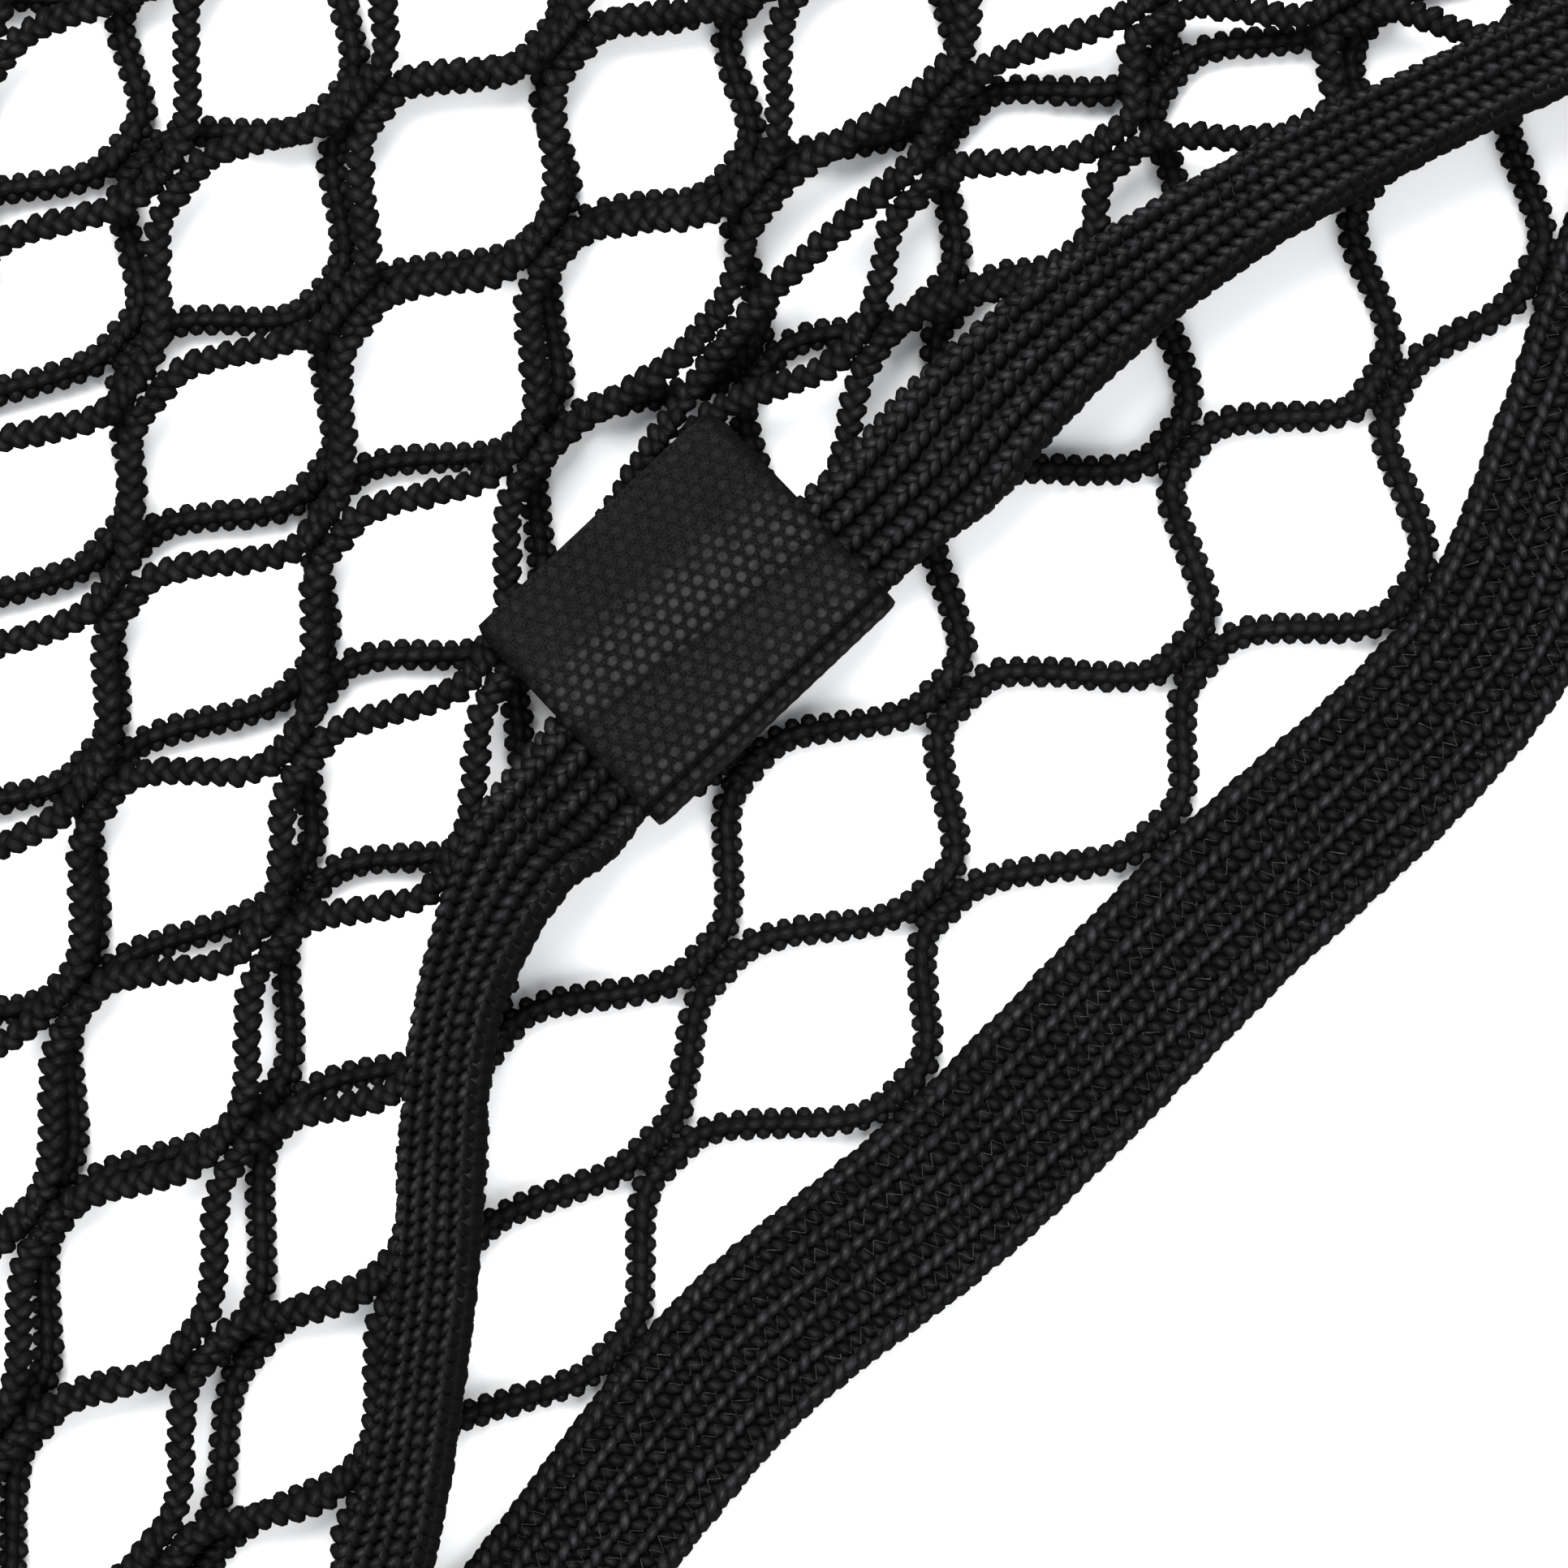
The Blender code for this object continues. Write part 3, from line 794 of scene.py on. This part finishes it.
def evenLine(line, step):       # a smooth line through the points, evenly spaced
    ends = [2 * line[0] - line[1]] + line + [2 * line[-1] - line[-2]]
    fine = []
    for a, b, c, d in zip(ends, ends[1:], ends[2:], ends[3:]):
        for i in range(20):
            t = i / 20
            fine.append(curvePoint(b, (c - a) / 2, c, (d - b) / 2, t))
    fine.append(line[-1])
    total = sum((q - p).length for p, q in zip(fine, fine[1:]))
    count = round(total / step)
    even, gone, wanted = [fine[0]], 0.0, total / count
    for p, q in zip(fine, fine[1:]):
        length = (q - p).length
        while length > 0 and wanted <= gone + length + 1e-9 and len(even) < count:
            even.append(p.lerp(q, (wanted - gone) / length))
            wanted += total / count
        gone += length
    return even + [fine[-1]], total


def hill(value, middle, reach):
    return exp(-((value - middle) / reach) ** 2)


def tabRelief(u, d):        # at a place u along the fold and d from it: lift, weave's strength and painted shade
    crease = tabLook["crease"] + tabLook["creaseSlope"] * u
    groove = hill(d, 1.66, 0.24)
    lift = -0.6 * groove + 0.12 * hill(d, 1.1, 0.3) + 0.08 * hill(d, 2.3, 0.4)      # the grooved edge
    lift += -0.12 * hill(d, crease, 0.3) + 0.22 * hill(d, crease + 1.3, 1.1)        # the sewn crease
    strength = 0.12 + 0.4 * hill(d, 1.1, 0.35) + 0.4 * hill(d, 3.0, 1.0)
    strength += 0.12 * (1 - smoothStep(crease - 1, crease, d))
    # beside the crease the dots show more strongly, fading along the fold: deeper weave relief and a painted
    # highlight where the raised cloth faces the light
    raisedLitZone = smoothStep(crease - 0.3, crease + 0.6, d) * (1 - smoothStep(crease + 2, crease + 7, d))
    strength += raisedLitZone * (0.55 + 0.4 * hill(u, 2.5, 7))
    # painted shade: darker in the edge's groove, along the sewn crease and near the fold's turn
    shade = (1 - 0.95 * groove) * (1 - 0.5 * hill(d, crease, 0.22))
    shade *= tabLook["foldPaintedShade"] + (1 - tabLook["foldPaintedShade"]) * smoothStep(0, tabLook["foldReach"], d)
    return lift, min(strength, 1.1), shade


def weaveDot(u, along):         # 1 at the top of each crossing's dot, 0 between the dots
    crossing = 2 * cos(pi * u / tabLook["weft"]) * cos(pi * along / tabLook["warp"])
    crossing = (crossing + cos(2 * pi * along / tabLook["warp"])) / 3
    valley = 1 - max(0, crossing + tabLook["dotSpread"]) / (1 + tabLook["dotSpread"])
    return 1 - valley ** tabLook["dotFullness"]


def makeTab():
    line, around = evenLine(tabLine(), tabLook["step"])
    count = round(tabLook["length"] / tabLook["step"])
    turn = Matrix.Rotation(radians(tabLook["turn"]), 4, "Z")
    half, last = tabLook["thickness"] / 2, len(line) - 1
    ends, plain = tabLook["rounding"], (0, tabLook["plainStrength"], 1)
    fold = min(range(len(line)), key=lambda j: line[j].x)
    sides, places, shades = [], [], []
    for hand in (1, -1):
        rows = []
        for j, point in enumerate(line):
            way = (line[min(j + 1, last)] - line[max(j - 1, 0)]).normalized()
            out = Vector((way.y, -way.x)) * hand
            along = j * tabLook["step"]
            row = []
            for i in range(count + 1):
                u = tabLook["length"] * (i / count - 0.5)
                lift, strength, shade = tabRelief(u, point.x) if hand == -1 and j > fold else plain
                relief = tabLook["weave"] * strength * (weaveDot(u, along) - tabLook["dotMiddle"])
                reach = half - tabLook["skin"] + lift + relief
                reach *= ends[min(i, count - i, j, last - j, len(ends) - 1)]
                spot = point + out * reach
                # the open end's corners are rounded
                cut = max(0, (point.x - tabLook["depth"]) / tabLook["corner"] + 1)
                narrow = 1 - tabLook["cuts"][u > 0] * cut ** 3
                row.append(placed(turn @ Vector((u * narrow, spot.x - tabLook["depth"] / 2, spot.y))))
                places.append((u, along, strength))
                # painted shade on the tab's ends, which round down onto the band
                side = smoothStep(*tabLook["sideReach"], tabLook["length"] / 2 - abs(u))
                shades.append(shade * (tabLook["sidePaintedShade"] + (1 - tabLook["sidePaintedShade"]) * side))
            rows.append(row)
        sides.append(rows)
    mesh = bmesh.new()
    grids = [[[mesh.verts.new(spot) for spot in row] for row in rows] for rows in sides]
    for rows in grids:
        for here, there in zip(rows, rows[1:]):
            for i in range(count):
                mesh.faces.new((here[i], here[i + 1], there[i + 1], there[i]))
    borders = [rows[0] + [row[-1] for row in rows[1:]] + rows[-1][-2::-1] + [row[0] for row in rows[-2:0:-1]]
               for rows in grids]
    for i in range(len(borders[0])):
        k = (i + 1) % len(borders[0])
        mesh.faces.new((borders[0][i], borders[0][k], borders[1][k], borders[1][i]))
    tab = endMesh("tab_cloth", mesh)
    weave = tab.data.attributes.new("weavePlace", "FLOAT_VECTOR", "POINT")
    weave.data.foreach_set("vector", [c for place in places for c in place])
    shade = tab.data.attributes.new("clothPaintedShade", "FLOAT", "POINT")
    shade.data.foreach_set("value", shades)
    tab.data.materials.append(tabCloth)
    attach(tab, "root")
    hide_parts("tab")
    around * mm
    print("tab", 2 * len(tab.data.polygons), "triangles, cloth", round(around, 1), "mm long")


makeTab()


# Floor, light and camera

studio = {"middle": (-5.0, -14.0), "side": 122.3, "turn": -50, "distance": 450, "sensor": 36,
          "floor": 0.92, "floorSize": 6, "sky": (0.93, 0.96, 1, 1), "skyStrength": 0.75}
lamps = (       # name, place, size and power
    ("key", (0.44, 0.56, 0.9), 1.1, 32),
    ("fill", (-0.5, -0.7, 0.9), 1.2, 14),
)


def makeStudio():
    bpy.ops.mesh.primitive_plane_add(size=studio["floorSize"])
    floor = bpy.context.object
    floor.name = "floor"
    paper, _, shader = newMaterial("whitePaper")
    shader.inputs["Base Color"].default_value = (studio["floor"],) * 3 + (1,)
    shader.inputs["Roughness"].default_value = 0.9
    floor.data.materials.append(paper)
    world = bpy.data.worlds.new("studio")
    bpy.context.scene.world = world
    world.use_nodes = True
    sky = world.node_tree.nodes["Background"]
    sky.inputs["Color"].default_value = studio["sky"]
    sky.inputs["Strength"].default_value = studio["skyStrength"]
    for name, place, size, power in lamps:
        lamp = bpy.data.lights.new(name, "AREA")
        lamp.shape = "DISK"
        lamp.size = size
        lamp.energy = power
        light = bpy.data.objects.new(name, lamp)
        light.location = place
        light.rotation_euler = (-Vector(place)).to_track_quat("-Z", "Y").to_euler()
        bpy.context.scene.collection.objects.link(light)
    lens = bpy.data.cameras.new("camera")
    lens.sensor_width = studio["sensor"]
    lens.lens = lens.sensor_width * studio["distance"] / studio["side"]
    lens.clip_start, lens.clip_end = 0.01, 50
    camera = bpy.data.objects.new("camera", lens)
    x, y = studio["middle"]
    camera.location = Vector((x, y + placeY, studio["distance"])) * mm
    camera.rotation_euler = (0, 0, radians(studio["turn"]))
    bpy.context.scene.collection.objects.link(camera)
    bpy.context.scene.camera = camera
    bpy.context.scene.view_settings.view_transform = "Standard"


makeStudio()
print("studio ready")
